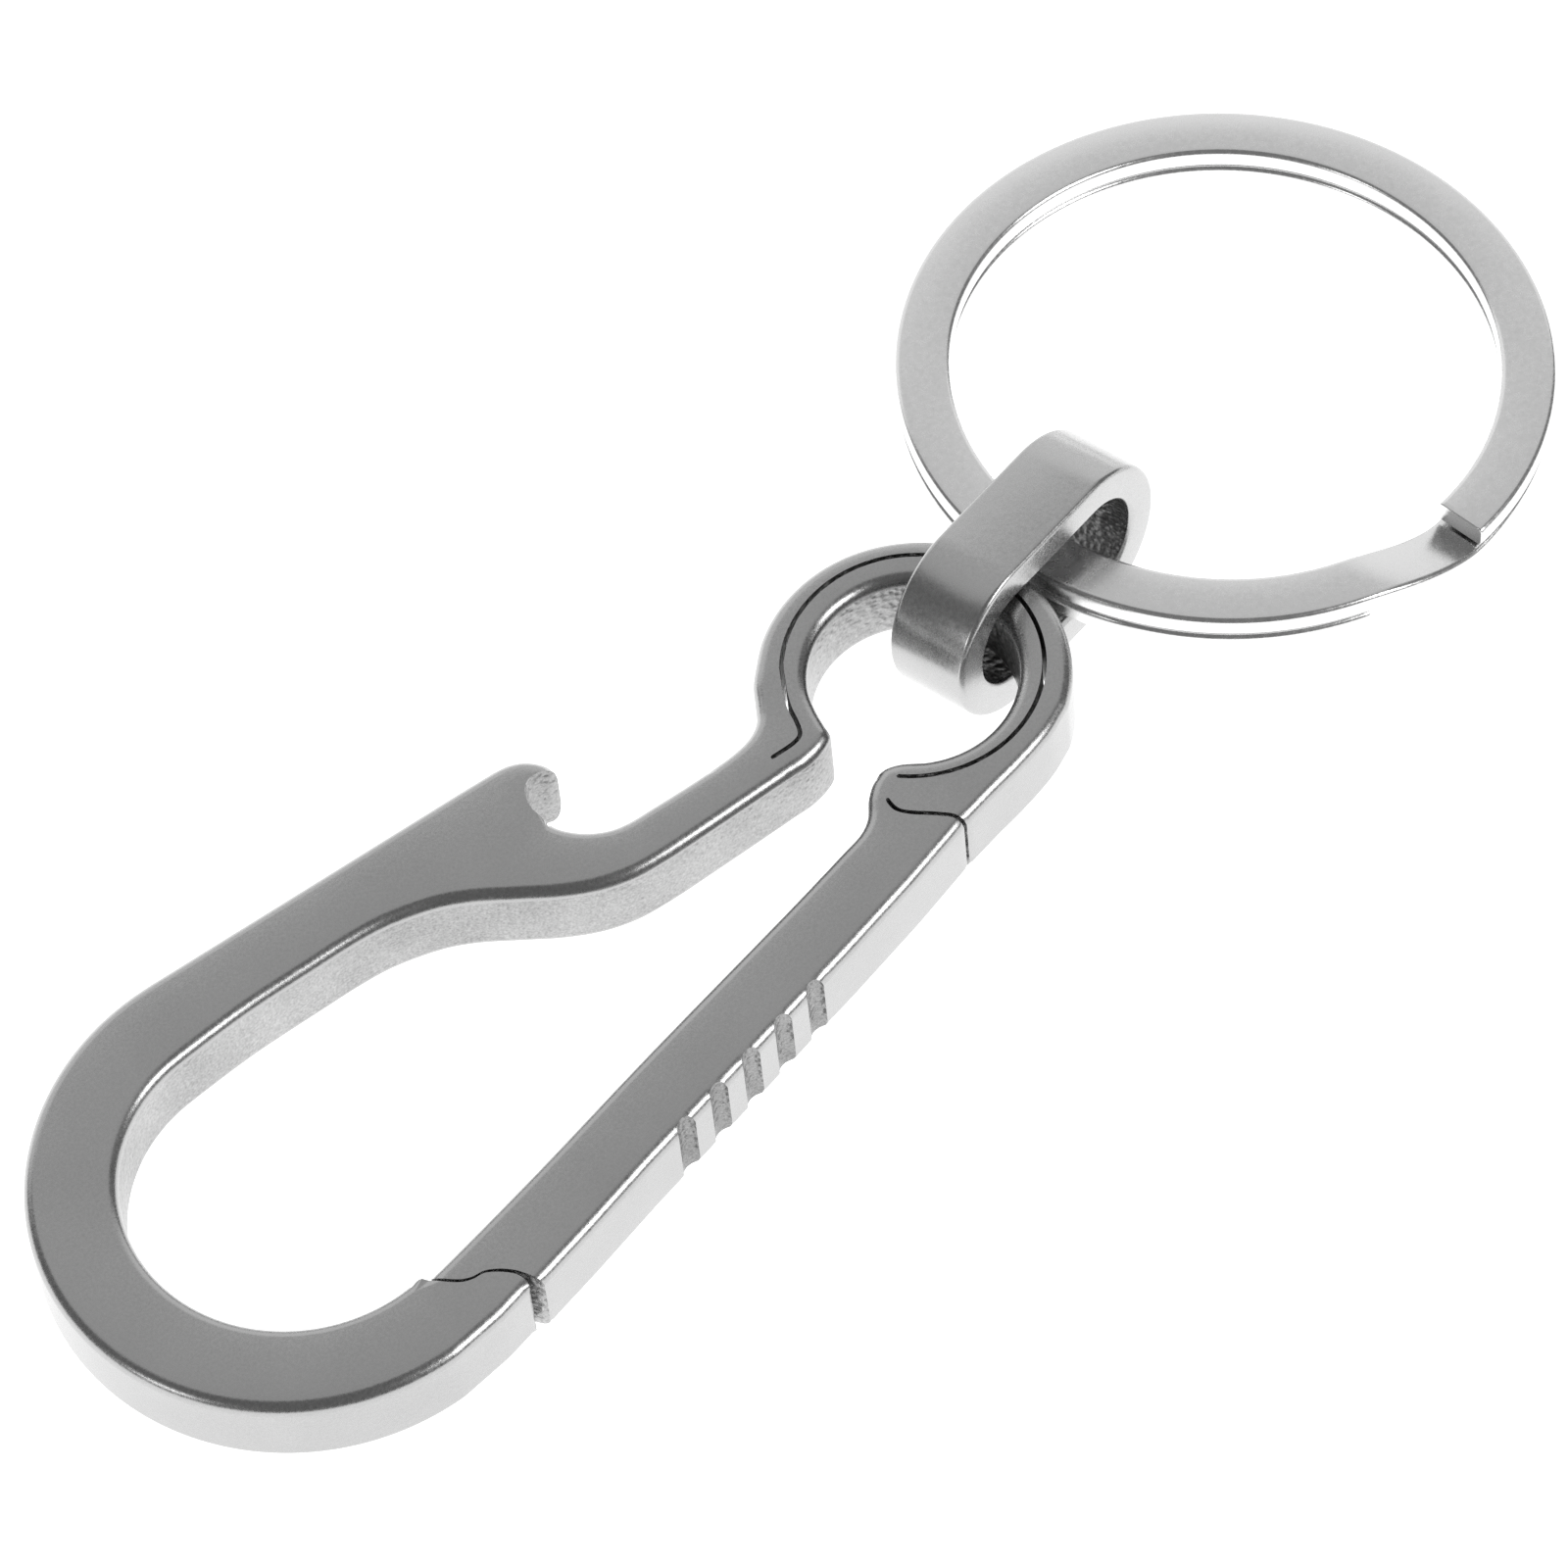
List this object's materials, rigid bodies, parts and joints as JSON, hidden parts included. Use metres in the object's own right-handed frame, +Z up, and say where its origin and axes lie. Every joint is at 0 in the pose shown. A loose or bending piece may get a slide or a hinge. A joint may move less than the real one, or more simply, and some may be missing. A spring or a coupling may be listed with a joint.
{
  "type": "keychain bottle opener",
  "caption": "Flat metal key hook with a sprung gate, a bottle opener notch in its back, a swing link and a split ring.",
  "frame": {"origin": "on the flat underside of the body's back, beside the bottle opener", "axes": "+X from the hook bend to the eye and key ring, +Y towards the opener side, +Z up out of the flat body"},
  "size_m": [0.0999, 0.0358, 0.0106],
  "materials": {
    "body_frame": "bead-blasted titanium, mid grey satin",
    "spring_leaf": "bead-blasted titanium, mid grey satin",
    "gate": "bead-blasted titanium, mid grey satin",
    "link": "satin titanium band with a wire-cut inner wall",
    "key_ring": "smooth satin flat wire"
  },
  "bodies": {
    "body": {"body_frame": "body_frame", "spring_leaf": "spring_leaf"},
    "gate": {"gate": "gate"},
    "link": {"link": "link"},
    "key_ring": {"key_ring": "key_ring"}
  },
  "joints": [
    {"name": "gate_hinge", "type": "hinge", "parent": "body", "child": "gate", "pos_m": [0.0166, -0.0115, 0.0025], "axis": [0, 0, -1], "range_deg": [0, 12], "stiffness_Nm_per_rad": 3, "deforming": ["spring_leaf"]},
    {"name": "link_swing", "type": "hinge", "parent": "body", "child": "link", "pos_m": [0.02865, -0.00576, 0.0025], "axis": [0.1685, -0.9857, 0], "range_deg": [-25, 40]},
    {"name": "ring_swing", "type": "hinge", "parent": "link", "child": "key_ring", "pos_m": [0.03282, -0.00505, 0.00155], "axis": [0.1685, -0.9856, 0.0152], "range_deg": [-45, 45]}
  ]
}
